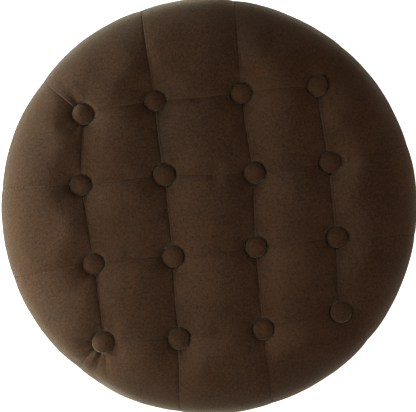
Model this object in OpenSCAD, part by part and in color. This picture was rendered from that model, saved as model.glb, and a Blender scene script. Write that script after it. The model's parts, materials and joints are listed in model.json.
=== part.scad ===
// Round storage ottoman. A button-tufted lid lifts straight off an upholstered drum, which stands on
// four turned feet. Millimetres, +Z up, origin on the floor under the middle of the drum. X runs along
// the rows of buttons and Y across them.

/* [Lid] */
// Widest diameter of the padded lid
lid_d = 550; // [530:5:600]
// Thickness of the lid, from its underside to the crest of the padding
lid_h = 90; // [84:1:100]
// Radius of the roll along the lid's top edge
edge_r = 42; // [32:1:42]
// Thickness of the plywood board inside the lid
lid_board_t = 12; // [10:1:15]

/* [Tufting] */
// Spacing of the buttons along a row
pitch_x = 106; // [98:1:106]
// Spacing of the rows of buttons
pitch_y = 102; // [96:1:102]
// Depth of a button's seat below the crest of the padding
tuft_depth = 20; // [16:1:26]
// Diameter of a covered button
button_d = 28.6; // [25:0.1:29]

/* [Drum] */
// How far the lid stands out past the drum, all round
overhang = 4; // [3:1:6]
// Height of the wooden frame, from the underside of the base board to the top of the hoop
frame_h = 280; // [240:5:340]
// Number of posts between the base board and the hoop
post_count = 6; // [4:1:8]

/* [Feet] */
// Height of the feet, from the floor to the base board
foot_h = 50; // [46:1:60]
// Distance of each foot from the middle
foot_reach = 190; // [170:5:200]

/* [Hidden] */
$fn = 96;
rows = 4;
columns = 4;
foot_count = 4;

// Cloth and sheet thicknesses
velvet_t = 1.5;
lining_t = 0.8;
bay_lining_t = 1;
hardboard_t = 3;
padding_t = 5;

// The rings of the drum wall, from the outside inwards
lid_r = lid_d / 2;
drum_r = lid_r - overhang;
padding_r = drum_r - velvet_t;
outer_wall_r = padding_r - padding_t;
frame_r = outer_wall_r - hardboard_t;
frame_w = 20;
inner_wall_r = frame_r - frame_w;
bay_wall_r = inner_wall_r - hardboard_t;
bay_r = bay_wall_r - velvet_t;
bay_floor_r = bay_wall_r - bay_lining_t - 0.5;

// Heights in the drum
base_board_t = 15;
hoop_t = 15;
base_z = foot_h;
floor_z = base_z + base_board_t;
hoop_z = base_z + frame_h - hoop_t;
frame_top = base_z + frame_h;
rim_z = frame_top + velvet_t;
bay_floor_t = 4;

// Rounding of the drum cover, and how far the walls stop short of it
rim_r = 10;
rim_inner_r = 4;
drum_hem_r = 6;
padding_top = frame_top - 8;
outer_wall_top = frame_top - 4;
inner_wall_top = frame_top - 2;
padding_bottom = base_z + 3;
drum_wrap_r = drum_r - 36;
flap_z = rim_z - 26;
trim_t = 1.2;
trim_h = 14;
dust_cover_r = drum_wrap_r + 15;

// Heights in the lid, whose underside clears the drum's rim by rest_gap
rest_gap = 0.3;
lid_z = rim_z + rest_gap;
lid_board_z = lid_z + velvet_t;
lid_board_top = lid_board_z + lid_board_t;
lid_board_r = lid_r - 17;
lid_top = lid_z + lid_h;
lid_taper = 3;
lid_hem_r = 8;
lid_wrap_r = lid_r - 63;

// The ring under the lid drops into the drum's opening
ring_t = 15;
ring_r = bay_r - 6;
ring_w = 30;
ring_z = lid_z - lining_t - ring_t;
lid_lining_r = ring_r + 5;

// Buttons, and the velvet cup that each one sits in
seat_z = lid_top - tuft_depth;
button_r = button_d / 2;
button_h = 8.6;
button_edge_r = 2.4;
button_plate_r = 10;
button_plate_t = 1.2;
cup_r = button_r + 1.7;
eye_r = 2.1;
eye_wire_r = 0.6;
eye_drop = 1.6;
eye_hole_r = 3;
tuft_hole_r = 4;
loop_r = 1.9;
loop_strand_r = 0.5;
loop_drop = 4;
twine_r = 1.2;
twine_hole_r = 2.5;
washer_r = 8.5;
washer_t = 1.5;
knot_r = 2.6;
knot_h = 1.4;
washer_pocket_h = 3.2;
tuft_shift_y = -9;

// How far each hand-set button stands off the even pitch, [x, y], row by row from the +Y side
button_shift = [
    [[8, -7], [-3, 1], [4, -1], [-2, -2]],
    [[-5, 3], [-1, 5], [10, -5], [4, -1]],
    [[1, 1], [-1, 0], [2, 1], [3, 3]],
    [[3, 0], [-4, -6], [0, -5], [-2, 7]]
];

// Fasteners
screw_r = 2;
screw_head_r = 4.2;
screw_head_h = 2.4;
screw_tip_h = 4;
ring_screw_count = 8;
ring_screw_l = 26;
post_screw_l = 40;
staple_w = 10;
staple_leg = 7;
staple_wire = 0.6;
staple_depth = 1.2;
lid_staple_count = 30;
dust_staple_count = 24;

// Posts
post_w = 30;
post_inset = 0.3;
post_d = frame_w - 1;

// Feet, their bolts and tee nuts
pad_h = 3;
pad_r = 17;
foot_turn = 45;
bolt_r = 4;
bolt_l = 44;
bolt_clear_r = 4.4;
tee_barrel_r = 5.5;
tee_barrel_l = 11.5;
tee_flange_r = 11;
tee_flange_t = 1.5;
foot_collar_r = 27;
foot_collar_h = 6;

BUTTON_NODES = [for (r = [1:rows], c = [1:columns]) button_name(r, c)];
POST_NODES = [for (i = [1:post_count]) str("post_", i)];
FOOT_NODES = [for (i = [1:foot_count]) str("foot_", i)];

function button_name(row, column) = str("button_r", row, "_c", column);

function button_xy(row, column) = [
    (column - (columns + 1) / 2) * pitch_x + button_shift[row - 1][column - 1][0],
    ((rows + 1) / 2 - row) * pitch_y + tuft_shift_y + button_shift[row - 1][column - 1][1]
];

function arc(x, z, r, from, to, steps) =
    [for (i = [0:steps]) let (a = from + (to - from) * i / steps) [x + r * cos(a), z + r * sin(a)]];

function backwards(points) = [for (i = [len(points) - 1:-1:0]) points[i]];

// The lid's outline from the middle of its top to its bottom hem, with every face moved in by inset
function lid_outline(inset) = concat(
    [[0, lid_top - inset]],
    arc(lid_r - edge_r, lid_top - edge_r, edge_r - inset, 90, 0, 8),
    arc(lid_r - lid_taper - lid_hem_r, lid_z + lid_hem_r, lid_hem_r - inset, 0, -90, 4)
);

module revolve(outline) {
    rotate_extrude() polygon(outline);
}

module ring(outer, inner, height) {
    revolve([[inner, 0], [outer, 0], [outer, height], [inner, height]]);
}

module at_buttons() {
    for (r = [1:rows], c = [1:columns]) translate(button_xy(r, c)) children();
}

module around(count, reach, start = 0) {
    for (i = [0:count - 1]) rotate(start + i * 360 / count) translate([reach, 0, 0]) children();
}

module screw(length) {
    revolve([
        [0, 0], [screw_head_r, 0], [screw_r, screw_head_h],
        [screw_r, length - screw_tip_h], [0.3, length], [0, length]
    ]);
}

module driver_recess() {
    for (a = [0, 90]) rotate(a) translate([-2, -0.4, -1]) cube([4, 0.8, 2.2]);
}

module staple() {
    translate([-staple_depth / 2, -staple_w / 2, 0]) cube([staple_depth, staple_w, staple_wire]);
    for (y = [-staple_w / 2, staple_w / 2 - staple_wire])
        translate([-staple_depth / 2, y, 0]) cube([staple_depth, staple_wire, staple_wire + staple_leg]);
}

module button_cap() {
    crown_h = button_h - button_edge_r;
    difference() {
        revolve(concat(
            [[0, 0]],
            arc(button_r - button_edge_r, button_edge_r, button_edge_r, -90, -15, 4),
            [for (i = [0:8]) [button_r * cos(i * 11.25), button_edge_r + crown_h * sin(i * 11.25)]]
        ));
        translate([0, 0, -1]) cylinder(r = button_plate_r, h = button_plate_t + 1);
    }
}

module torus(major, minor) {
    rotate_extrude() translate([major, 0]) circle(r = minor, $fn = 24);
}

// Lid

module lid_cover() {
    color("#4a3728") difference() {
        union() {
            revolve(concat(
                lid_outline(0),
                [[lid_wrap_r, lid_z], [lid_wrap_r, lid_board_z]],
                backwards(lid_outline(velvet_t))
            ));
            at_buttons() translate([0, 0, seat_z - velvet_t])
                cylinder(r = cup_r + velvet_t, h = tuft_depth + velvet_t / 2);
        }
        at_buttons() {
            translate([0, 0, seat_z]) cylinder(r = cup_r, h = tuft_depth + 1);
            translate([0, 0, seat_z - velvet_t - 1]) cylinder(r = eye_hole_r, h = velvet_t + 2);
        }
        ring_screw_bodies();
    }
}

module lid_foam() {
    color("#e8dcb0") difference() {
        revolve(concat(
            lid_outline(velvet_t),
            [[lid_board_r, lid_board_z], [lid_board_r, lid_board_top], [0, lid_board_top]]
        ));
        at_buttons() {
            translate([0, 0, seat_z - velvet_t])
                cylinder(r = cup_r + velvet_t, h = tuft_depth + velvet_t);
            translate([0, 0, lid_board_top - 1]) cylinder(r = tuft_hole_r, h = lid_h);
        }
    }
}

module lid_board() {
    color("#c9a77a") difference() {
        translate([0, 0, lid_board_z]) cylinder(r = lid_board_r, h = lid_board_t);
        at_buttons() {
            translate([0, 0, lid_z]) cylinder(r = twine_hole_r, h = lid_board_t + 3);
            translate([0, 0, lid_board_z - 1]) cylinder(r = washer_r, h = washer_pocket_h + 1);
        }
        ring_screw_bodies();
    }
}

module lid_lining() {
    color("#2b2725") difference() {
        translate([0, 0, lid_z - lining_t]) cylinder(r = lid_lining_r, h = lining_t);
        ring_screw_bodies();
    }
}

module locating_ring() {
    color("#c9a77a") difference() {
        translate([0, 0, ring_z]) ring(ring_r, ring_r - ring_w, ring_t);
        ring_screw_bodies();
    }
}

module ring_screw_bodies() {
    around(ring_screw_count, ring_r - 8, 180 / ring_screw_count) translate([0, 0, ring_z])
        screw(ring_screw_l);
}

module ring_screws() {
    color("#9a9a9a") around(ring_screw_count, ring_r - 8, 180 / ring_screw_count)
        translate([0, 0, ring_z]) difference() {
            screw(ring_screw_l);
            driver_recess();
        }
}

module lid_staples() {
    color("#b5b5b5") around(lid_staple_count, ring_r + 2.5, 6)
        translate([0, 0, lid_z - lining_t - staple_wire]) staple();
}

module button(row, column) {
    color("#4a3728") translate(button_xy(row, column)) translate([0, 0, seat_z]) button_cap();
}

module button_backs() {
    color("#8f8f8f") at_buttons() translate([0, 0, seat_z]) {
        cylinder(r = button_plate_r, h = button_plate_t);
        translate([0, 0, -eye_drop]) rotate([90, 0, 0]) torus(eye_r, eye_wire_r);
    }
}

module tuft_twine() {
    knot_z = lid_board_z + washer_pocket_h - washer_t - knot_h;
    color("#d8cfb8") at_buttons() {
        translate([0, 0, seat_z - loop_drop]) rotate([0, 90, 0]) torus(loop_r, loop_strand_r);
        translate([0, 0, knot_z]) {
            cylinder(r = twine_r, h = seat_z - loop_drop - loop_r + loop_strand_r / 2 - knot_z);
            cylinder(r = knot_r, h = knot_h);
        }
    }
}

module twine_washers() {
    color("#f0f0ea") at_buttons() translate([0, 0, lid_board_z + washer_pocket_h - washer_t])
        ring(washer_r, twine_r, washer_t);
}

// Drum

module drum_cover() {
    outside = concat(
        [[drum_wrap_r, base_z - velvet_t]],
        arc(drum_r - drum_hem_r, base_z - velvet_t + drum_hem_r, drum_hem_r, -90, 0, 4),
        arc(drum_r - rim_r, rim_z - rim_r, rim_r, 0, 90, 5),
        arc(bay_r + rim_inner_r, rim_z - rim_inner_r, rim_inner_r, 90, 180, 4),
        [[bay_r, flap_z]]
    );
    inside = [
        [bay_wall_r, flap_z], [bay_wall_r, inner_wall_top], [inner_wall_r, frame_top],
        [frame_r, frame_top], [outer_wall_r, outer_wall_top], [padding_r, padding_top],
        [padding_r, padding_bottom], [outer_wall_r, base_z], [drum_wrap_r, base_z]
    ];
    color("#4a3728") revolve(concat(outside, inside));
}

module wall_padding() {
    color("#e8dcb0") translate([0, 0, padding_bottom])
        ring(padding_r, outer_wall_r, padding_top - padding_bottom);
}

module outer_wall() {
    color("#8a6a48") translate([0, 0, base_z]) ring(outer_wall_r, frame_r, outer_wall_top - base_z);
}

module inner_wall() {
    color("#8a6a48") translate([0, 0, floor_z]) ring(inner_wall_r, bay_wall_r, inner_wall_top - floor_z);
}

module top_hoop() {
    color("#c9a77a") difference() {
        translate([0, 0, hoop_z]) ring(frame_r, inner_wall_r, hoop_t);
        hoop_screw_bodies();
    }
}

module base_board() {
    color("#b58f63") difference() {
        translate([0, 0, base_z]) cylinder(r = frame_r, h = base_board_t);
        base_screw_bodies();
        at_feet() {
            translate([0, 0, -1]) cylinder(r = bolt_clear_r, h = base_board_t);
            translate([0, 0, base_board_t - tee_flange_t - tee_barrel_l])
                cylinder(r = tee_barrel_r, h = tee_barrel_l + 1);
            translate([0, 0, base_board_t - tee_flange_t]) cylinder(r = tee_flange_r, h = tee_flange_t + 1);
        }
    }
}

module at_post(i) {
    rotate((i - 1) * 360 / post_count + 180 / post_count)
        translate([inner_wall_r + post_inset, 0, 0]) children();
}

module post(i) {
    color("#d9bd8b") difference() {
        at_post(i) translate([0, -post_w / 2, floor_z]) cube([post_d, post_w, hoop_z - floor_z]);
        hoop_screw_bodies();
        base_screw_bodies();
    }
}

module hoop_screw_bodies() {
    for (i = [1:post_count]) at_post(i)
        translate([post_d / 2, 0, frame_top]) rotate([180, 0, 0]) screw(post_screw_l);
}

module base_screw_bodies() {
    for (i = [1:post_count]) at_post(i) translate([post_d / 2, 0, base_z]) screw(post_screw_l);
}

module hoop_screws() {
    color("#9a9a9a") hoop_screw_bodies();
}

module base_screws() {
    color("#9a9a9a") base_screw_bodies();
}

module bay_lining() {
    color("#2b2725") translate([0, 0, floor_z])
        ring(bay_wall_r, bay_wall_r - bay_lining_t, flap_z - 2 - floor_z);
}

module bay_trim() {
    color("#3a2c22") translate([0, 0, flap_z - trim_h / 2]) ring(bay_r, bay_r - trim_t, trim_h);
}

module bay_floor() {
    color("#2b2725") translate([0, 0, floor_z]) cylinder(r = bay_floor_r, h = bay_floor_t);
}

module dust_cover() {
    color("#222222") difference() {
        translate([0, 0, base_z - velvet_t - lining_t]) cylinder(r = dust_cover_r, h = lining_t);
        at_feet() translate([0, 0, -velvet_t - lining_t - 1]) cylinder(r = foot_collar_r + 0.5, h = 5);
    }
}

module dust_staples() {
    color("#b5b5b5") around(dust_staple_count, dust_cover_r - 4)
        translate([0, 0, base_z - velvet_t - lining_t - staple_wire]) staple();
}

// Feet

module at_feet() {
    around(foot_count, foot_reach, foot_turn) translate([0, 0, base_z]) children();
}

module at_foot(i) {
    rotate(foot_turn + (i - 1) * 360 / foot_count) translate([foot_reach, 0, base_z]) children();
}

module foot(i) {
    bun_h = foot_h - pad_h - foot_collar_h - 4;
    color("#3b2415") at_foot(i) difference() {
        revolve(concat(
            [[0, 0], [foot_collar_r, 0]],
            arc(foot_collar_r - 2, -foot_collar_h + 2, 2, 0, -90, 3),
            [[foot_collar_r - 5, -foot_collar_h], [foot_collar_r - 5, -foot_collar_h - 4]],
            [for (a = [60:-15:-60])
                [10 + 22 * cos(a), -foot_h + pad_h + bun_h / 2 * (1 + sin(a) / sin(60))]],
            [[0, -foot_h + pad_h]]
        ));
        foot_bolt();
    }
}

module foot_bolt() {
    translate([0, 0, base_board_t - 1 - bolt_l]) cylinder(r = bolt_r, h = bolt_l);
}

module foot_bolts() {
    color("#b0b0b0") at_feet() foot_bolt();
}

module tee_nuts() {
    color("#b0b0b0") at_feet() difference() {
        union() {
            translate([0, 0, base_board_t - tee_flange_t - tee_barrel_l])
                cylinder(r = tee_barrel_r, h = tee_barrel_l + tee_flange_t);
            translate([0, 0, base_board_t - tee_flange_t]) cylinder(r = tee_flange_r, h = tee_flange_t);
        }
        cylinder(r = bolt_r, h = 3 * base_board_t, center = true);
    }
}

module foot_pads() {
    color("#1e1e1e") at_feet() translate([0, 0, -foot_h]) cylinder(r = pad_r, h = pad_h);
}

lid_cover();
lid_foam();
lid_board();
lid_lining();
locating_ring();
ring_screws();
lid_staples();
for (r = [1:rows], c = [1:columns]) button(r, c);
button_backs();
tuft_twine();
twine_washers();
drum_cover();
wall_padding();
outer_wall();
inner_wall();
top_hoop();
base_board();
for (i = [1:post_count]) post(i);
hoop_screws();
base_screws();
bay_lining();
bay_trim();
bay_floor();
dust_cover();
dust_staples();
for (i = [1:foot_count]) foot(i);
foot_bolts();
tee_nuts();
foot_pads();
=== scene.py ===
import json
import math
import random

import bmesh
import bpy
import numpy as np
from mathutils import Euler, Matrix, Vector, noise
from mathutils.geometry import delaunay_2d_cdt
from mathutils.kdtree import KDTree


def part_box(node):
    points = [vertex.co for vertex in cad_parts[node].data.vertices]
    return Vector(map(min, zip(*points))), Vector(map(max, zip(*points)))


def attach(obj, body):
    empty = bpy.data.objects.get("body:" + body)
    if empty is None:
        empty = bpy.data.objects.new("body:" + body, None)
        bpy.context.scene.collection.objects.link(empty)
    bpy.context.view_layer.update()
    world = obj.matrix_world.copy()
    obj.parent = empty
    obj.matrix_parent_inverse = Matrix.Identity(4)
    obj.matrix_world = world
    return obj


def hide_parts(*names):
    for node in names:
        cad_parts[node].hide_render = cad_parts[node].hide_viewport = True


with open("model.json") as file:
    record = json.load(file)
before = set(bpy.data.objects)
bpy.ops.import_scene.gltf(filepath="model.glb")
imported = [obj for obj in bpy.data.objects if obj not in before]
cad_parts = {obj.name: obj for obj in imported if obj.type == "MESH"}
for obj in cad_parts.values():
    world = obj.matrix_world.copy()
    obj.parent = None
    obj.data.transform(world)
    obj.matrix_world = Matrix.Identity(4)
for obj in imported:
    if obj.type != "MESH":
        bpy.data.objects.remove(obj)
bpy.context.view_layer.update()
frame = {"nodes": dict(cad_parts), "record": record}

MM = 0.001
ROWS, COLUMNS = 4, 4

# Places taken from the frame, in metres
LID_LOW, LID_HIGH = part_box("lid_cover")
BOARD_LOW, BOARD_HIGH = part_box("lid_board")
DRUM_LOW, DRUM_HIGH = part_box("drum_cover")
LID_R = LID_HIGH.y
DRUM_R = DRUM_HIGH.x
CREST = LID_HIGH.z


# ---------------- shader nodes


class Shader:
    """One node material: a Principled shader, and short ways to add the nodes that feed it."""

    def __init__(self, name, **sockets):
        self.material = bpy.data.materials.new(name)
        self.material.use_nodes = True
        self.tree = self.material.node_tree
        self.principled = self.tree.nodes["Principled BSDF"]
        for socket, value in sockets.items():
            self.principled.inputs[socket.replace("_", " ")].default_value = value
        self.place = self.node("ShaderNodeTexCoord").outputs["Object"]
        self.normal = None

    def link(self, value, socket):
        if hasattr(value, "is_linked"):
            self.tree.links.new(value, socket)
        else:
            socket.default_value = value

    def node(self, kind, inputs=None, **settings):
        """A new node; inputs holds a value, or another node's output, for each of its inputs."""
        made = self.tree.nodes.new(kind)
        for key, value in settings.items():
            setattr(made, key, value)
        for key, value in (inputs or {}).items():
            self.link(value, made.inputs[key])
        return made

    def stretched(self, x, y, z):
        return self.node("ShaderNodeMapping", {"Vector": self.place, "Scale": (x, y, z)}).outputs["Vector"]

    def noise(self, scale, detail=3, rough=0.5, distort=0, place=None):
        inputs = {"Vector": place or self.place, "Scale": scale}
        inputs |= {"Detail": detail, "Roughness": rough, "Distortion": distort}
        return self.node("ShaderNodeTexNoise", inputs).outputs["Fac"]

    def cells(self, scale):
        return self.node("ShaderNodeTexVoronoi", {"Vector": self.place, "Scale": scale}).outputs["Distance"]

    def waves(self, scale, direction, distort):
        inputs = {"Vector": self.place, "Scale": scale, "Distortion": distort}
        return self.node("ShaderNodeTexWave", inputs, bands_direction=direction).outputs["Fac"]

    def math(self, operation, a, b=0.0):
        return self.node("ShaderNodeMath", {0: a, 1: b}, operation=operation).outputs[0]

    def total(self, *parts):
        """The sum of values, each times its weight."""
        total = 0.0
        for value, weight in parts:
            total = self.math("ADD", self.math("MULTIPLY", value, weight), total)
        return total

    def scaled(self, value, low, high, to_low, to_high):
        inputs = {"Value": value, "From Min": low, "From Max": high, "To Min": to_low, "To Max": to_high}
        return self.node("ShaderNodeMapRange", inputs).outputs["Result"]

    def ramp(self, value, *stops):
        made = self.node("ShaderNodeValToRGB", {"Fac": value})
        for element, (position, colour) in zip(made.color_ramp.elements, stops):
            element.position = position
            element.color = (*colour, 1)
        return made.outputs["Color"]

    def mix(self, share, a, b):
        # A mix node's inputs 6 and 7 are its two colours, and its output 2 is their mix
        return self.node("ShaderNodeMix", {"Factor": share, 6: a, 7: b}, data_type="RGBA").outputs[2]

    def colour(self, value, *stops):
        """Colours the surface by a value, between the colours given at two places on its scale."""
        self.link(self.ramp(value, *stops), self.principled.inputs["Base Color"])

    def roughness(self, value):
        self.link(value, self.principled.inputs["Roughness"])

    def bump(self, height, distance, strength):
        made = self.node("ShaderNodeBump", {"Distance": distance, "Strength": strength, "Height": height})
        if self.normal is not None:
            self.link(self.normal, made.inputs["Normal"])
        self.normal = made.outputs["Normal"]
        self.link(self.normal, self.principled.inputs["Normal"])


# ---------------- materials


def velvet(name, dark, light):
    """Short-pile velvet: fine mottled pile, patches where the nap lies another way, and a pale sheen."""
    s = Shader(name, Roughness=0.85, Specular_IOR_Level=0.12, Sheen_Weight=0.42, Sheen_Roughness=0.38,
               Sheen_Tint=(1.0, 0.95, 0.76, 1))
    pile = s.noise(620, 4, 0.62)
    clump = s.noise(330, 3, 0.6, 0.3)
    nap = s.noise(15, 3, 0.6, 0.8)
    s.colour(s.total((pile, 0.44), (clump, 0.36), (nap, 0.2)), (0.385, dark), (0.615, light))
    s.roughness(s.scaled(nap, 0.3, 0.7, 0.78, 0.95))
    s.bump(pile, 0.0011, 0.55)
    s.bump(clump, 0.0012, 0.28)
    return s.material


def woven(name, dark, light, threads=620, sheen=0.1, roughness=0.9):
    """Plain woven cloth."""
    s = Shader(name, Roughness=roughness, Sheen_Weight=sheen, Sheen_Roughness=0.5)
    warp, across, weft = (s.waves(threads / 3.14, axis, 0.3) for axis in "XYZ")
    weave = s.math("MULTIPLY", s.math("ADD", warp, across), weft)
    s.colour(s.total((weave, 0.35), (s.noise(90), 0.6)), (0.2, dark), (0.85, light))
    s.bump(weave, 0.0005, 0.5)
    s.bump(s.noise(60, 2), 0.002, 0.25)
    return s.material


def bonded(name, dark, light):
    """Thin non-woven dust cloth with a pressed dot pattern."""
    s = Shader(name, Roughness=0.8, Sheen_Weight=0.15)
    dots = s.cells(420)
    s.colour(s.total((dots, 0.7), (s.noise(500, 4, 0.7), 0.4)), (0.25, dark), (0.75, light))
    s.bump(dots, 0.0006, 0.6)
    s.bump(s.noise(35, 2), 0.002, 0.2)
    return s.material


def twisted(name, dark, light, sheen=0.2):
    """Twine or thread: strands laid together, wound along the cord."""
    s = Shader(name, Roughness=0.9, Specular_IOR_Level=0.12, Sheen_Weight=sheen)
    strands = s.waves(190, "DIAGONAL", 0.4)
    fuzz = s.noise(900, 3, 0.7)
    s.colour(s.total((strands, 0.6), (fuzz, 0.4)), (0.2, dark), (0.8, light))
    s.bump(strands, 0.0006, 0.7)
    return s.material


def sawn(name, dark, light, scale, roughness=0.6, coat=0.0, fine=0.5):
    """Wood whose grain runs along the axis with the smallest number in scale."""
    s = Shader(name, Roughness=roughness, Coat_Weight=coat, Coat_Roughness=0.22)
    along = s.stretched(*scale)
    figure = s.noise(14, 4, 0.55, 1.2, along)
    fibre = s.noise(160, 4, 0.7, 0.2, along)
    s.colour(s.total((figure, 1 - fine), (fibre, fine)), (0.3, dark), (0.7, light))
    s.roughness(s.scaled(fibre, 0.2, 0.8, roughness - 0.08, roughness + 0.12))
    s.bump(fibre, 0.0005, 0.35)
    return s.material


def plywood(name):
    """Birch plywood: veneer grain on the faces and glued layers on the edges."""
    s = Shader(name, Roughness=0.62)
    face = s.noise(16, 4, 0.6, 1.0, s.stretched(1, 0.12, 1))
    fibre = s.noise(210, 3, 0.7, 0.1, s.stretched(1, 0.08, 1))
    layer = s.waves(330, "Z", 0.25)
    wood = s.total((face, 0.55), (fibre, 0.45))
    veneer = s.ramp(wood, (0.3, (0.42, 0.27, 0.14)), (0.7, (0.68, 0.49, 0.29)))
    edge = s.ramp(s.total((layer, 0.7), (fibre, 0.3)), (0.25, (0.22, 0.13, 0.065)), (0.6, (0.6, 0.42, 0.24)))
    normal = s.node("ShaderNodeSeparateXYZ", {0: s.node("ShaderNodeNewGeometry").outputs["Normal"]})
    flat = s.scaled(s.math("ABSOLUTE", normal.outputs["Z"]), 0.55, 0.75, 0, 1)
    s.link(s.mix(flat, edge, veneer), s.principled.inputs["Base Color"])
    s.bump(fibre, 0.0004, 0.4)
    return s.material


def grainy(name, dark, light, grain, stops, relief, **sockets):
    """One noise, given as its scale, detail and roughness, both colours the surface and raises it."""
    s = Shader(name, **sockets)
    specks = s.noise(*grain)
    s.colour(specks, (stops[0], dark), (stops[1], light))
    s.bump(specks, *relief)
    return s.material


def open_foam(name):
    s = Shader(name, Roughness=0.95)
    pores = s.cells(520)
    s.colour(pores, (0.05, (0.5, 0.42, 0.24)), (0.6, (0.82, 0.74, 0.5)))
    s.bump(pores, 0.0012, 0.9)
    return s.material


def plated(name, colour, roughness=0.35):
    """Zinc-plated steel, a little cloudy."""
    s = Shader(name, Metallic=1.0, Roughness=roughness)
    cloud = s.noise(240, 4, 0.6)
    s.colour(cloud, (0.3, colour), (0.75, [c * 1.15 for c in colour]))
    s.roughness(s.scaled(cloud, 0.3, 0.7, roughness - 0.08, roughness + 0.12))
    s.bump(s.noise(900, 2), 0.00015, 0.4)
    return s.material


MATERIALS = {
    "velvet": velvet("velvet", (0.0200, 0.0088, 0.0040), (0.0570, 0.0280, 0.0134)),
    "button_velvet": velvet("button_velvet", (0.0225, 0.0100, 0.0046), (0.0630, 0.0310, 0.0150)),
    "thread": twisted("thread", (0.002, 0.0013, 0.001), (0.010, 0.0065, 0.0045), 0.0),
    "foam": open_foam("open_foam"),
    "plywood": plywood("birch_plywood"),
    "hardboard": grainy("hardboard", (0.13, 0.065, 0.03), (0.3, 0.175, 0.09), (420, 4, 0.75),
                        (0.3, 0.7), (0.0003, 0.4), Roughness=0.7),
    "pine": sawn("pine", (0.5, 0.33, 0.16), (0.74, 0.55, 0.32), (1, 1, 0.06)),
    "dark_wood": sawn("espresso_wood", (0.022, 0.0095, 0.0052), (0.075, 0.033, 0.017), (1, 1, 0.07),
                      0.38, 0.35, 0.6),
    "zinc_steel": plated("zinc_steel", (0.55, 0.54, 0.5)),
    "steel_wire": plated("steel_wire", (0.5, 0.5, 0.52), 0.3),
    "twine": twisted("waxed_twine", (0.42, 0.35, 0.24), (0.74, 0.66, 0.5)),
    "washer_plastic": grainy("washer_plastic", (0.64, 0.632, 0.6), (0.8, 0.79, 0.75), (700, 3, 0.6),
                             (0.3, 0.7), (0.0002, 0.4), Roughness=0.5),
    "lining": woven("lining_cloth", (0.012, 0.0095, 0.0085), (0.042, 0.034, 0.03)),
    "braid": woven("braid_cord", (0.018, 0.0105, 0.007), (0.085, 0.054, 0.036), 1500, 0.3, 0.75),
    "cambric": bonded("dust_cloth", (0.006, 0.006, 0.0062), (0.028, 0.028, 0.029)),
    "pad_rubber": grainy("foot_felt", (0.008, 0.008, 0.008), (0.04, 0.038, 0.036), (800, 5, 0.8, 1.5),
                         (0.35, 0.65), (0.0008, 0.8),
                         Roughness=0.95, Sheen_Weight=0.3, Sheen_Roughness=0.6),
}


# ---------------- points and meshes


def placed(name, data):
    """A new object in the scene."""
    made = bpy.data.objects.new(name, data)
    bpy.context.scene.collection.objects.link(made)
    return made


def mesh_piece(name, points, faces, material, body, *replaced):
    """A new piece in the row frame that rides on a body and stands for the CAD nodes it replaces."""
    mesh = bpy.data.meshes.new(name)
    mesh.from_pydata([tuple(p) for p in points], [], [tuple(f) for f in faces])
    mesh.validate()
    mesh.shade_smooth()
    mesh.materials.append(MATERIALS[material])
    piece = placed(name, mesh)
    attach(piece, body)
    if replaced:
        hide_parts(*replaced)
    return piece


def outward(piece, poles=False):
    """Turns a closed piece's faces outwards, and joins the repeated points at the poles of a turned one."""
    made = bmesh.new()
    made.from_mesh(piece.data)
    if poles:
        bmesh.ops.remove_doubles(made, verts=made.verts, dist=0.005 * MM)
        bmesh.ops.dissolve_degenerate(made, edges=made.edges, dist=0.002 * MM)
    bmesh.ops.recalc_face_normals(made, faces=made.faces)
    made.to_mesh(piece.data)
    made.free()


def solidify(piece, thickness):
    """Gives a sheet its thickness, inwards from the side its faces point to."""
    modifier = piece.modifiers.new("thickness", "SOLIDIFY")
    modifier.thickness = thickness
    modifier.offset = -1
    graph = bpy.context.evaluated_depsgraph_get()
    made = bpy.data.meshes.new_from_object(piece.evaluated_get(graph))
    piece.modifiers.clear()
    piece.data = made
    made.shade_smooth()


def grid_faces(rows, columns, closed=False, wrapped=False, first=0):
    """Quads of a grid of points, row by row; closed joins its rows in a ring, and wrapped its columns."""
    faces = []
    for i in range(rows if closed else rows - 1):
        here, after = first + i * columns, first + (i + 1) % rows * columns
        for j in range(columns if wrapped else columns - 1):
            k = (j + 1) % columns
            faces.append((here + j, after + j, after + k, here + k))
    return faces


def even_turn(steps):
    return np.linspace(0, 2 * math.pi, steps, endpoint=False)


def ring_points(r, angles, z):
    """Points round the axis, at a radius and a height for each angle."""
    return np.stack([r * np.cos(angles), r * np.sin(angles), z + 0 * angles], axis=-1)


def turned(outline, angles):
    """An outline in (r, z) turned round the axis: points as angles x outline x 3."""
    r, z = np.array(outline).T
    return ring_points(r, angles[:, None], z)


def turned_piece(name, points, material, body, node):
    faces = grid_faces(*points.shape[:2], closed=True)
    return mesh_piece(name, points.reshape(-1, 3), faces, material, body, node)


def pushed_out(points, amount):
    """Points moved away from the axis by amount."""
    moved = points.copy()
    moved[..., :2] *= 1 + (amount / np.maximum(flat_radius(points), 1e-9))[..., None]
    return moved


def flat_radius(points):
    return np.hypot(points[..., 0], points[..., 1])


def middle_of(node):
    """The middle of a CAD node's box, in plan."""
    low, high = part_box(node)
    return np.array((low + high) / 2)[:2]


def unit(vectors):
    return vectors / np.linalg.norm(vectors, axis=-1, keepdims=True)


def lengths_along(line):
    """The length from the start of a line to each of its points."""
    return np.concatenate([[0], np.cumsum(np.linalg.norm(np.diff(line, axis=0), axis=-1))])


def smoothstep(t):
    t = np.clip(t, 0, 1)
    return t * t * (3 - 2 * t)


def hump(away, width, power=2):
    """A smooth bump, 1 high, that fades with the distance from its middle."""
    return np.exp(-((away / width) ** power))


def uneven(points, size, seed):
    """Smooth noise from -1 to 1 at each point; size is the width of its lumps in metres."""
    offset = Vector((seed * 7.31, seed * 3.17, seed * 5.77))
    values = [noise.noise(Vector(p) / size + offset) for p in points.reshape(-1, 3)]
    return np.array(values).reshape(points.shape[:-1])


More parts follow.
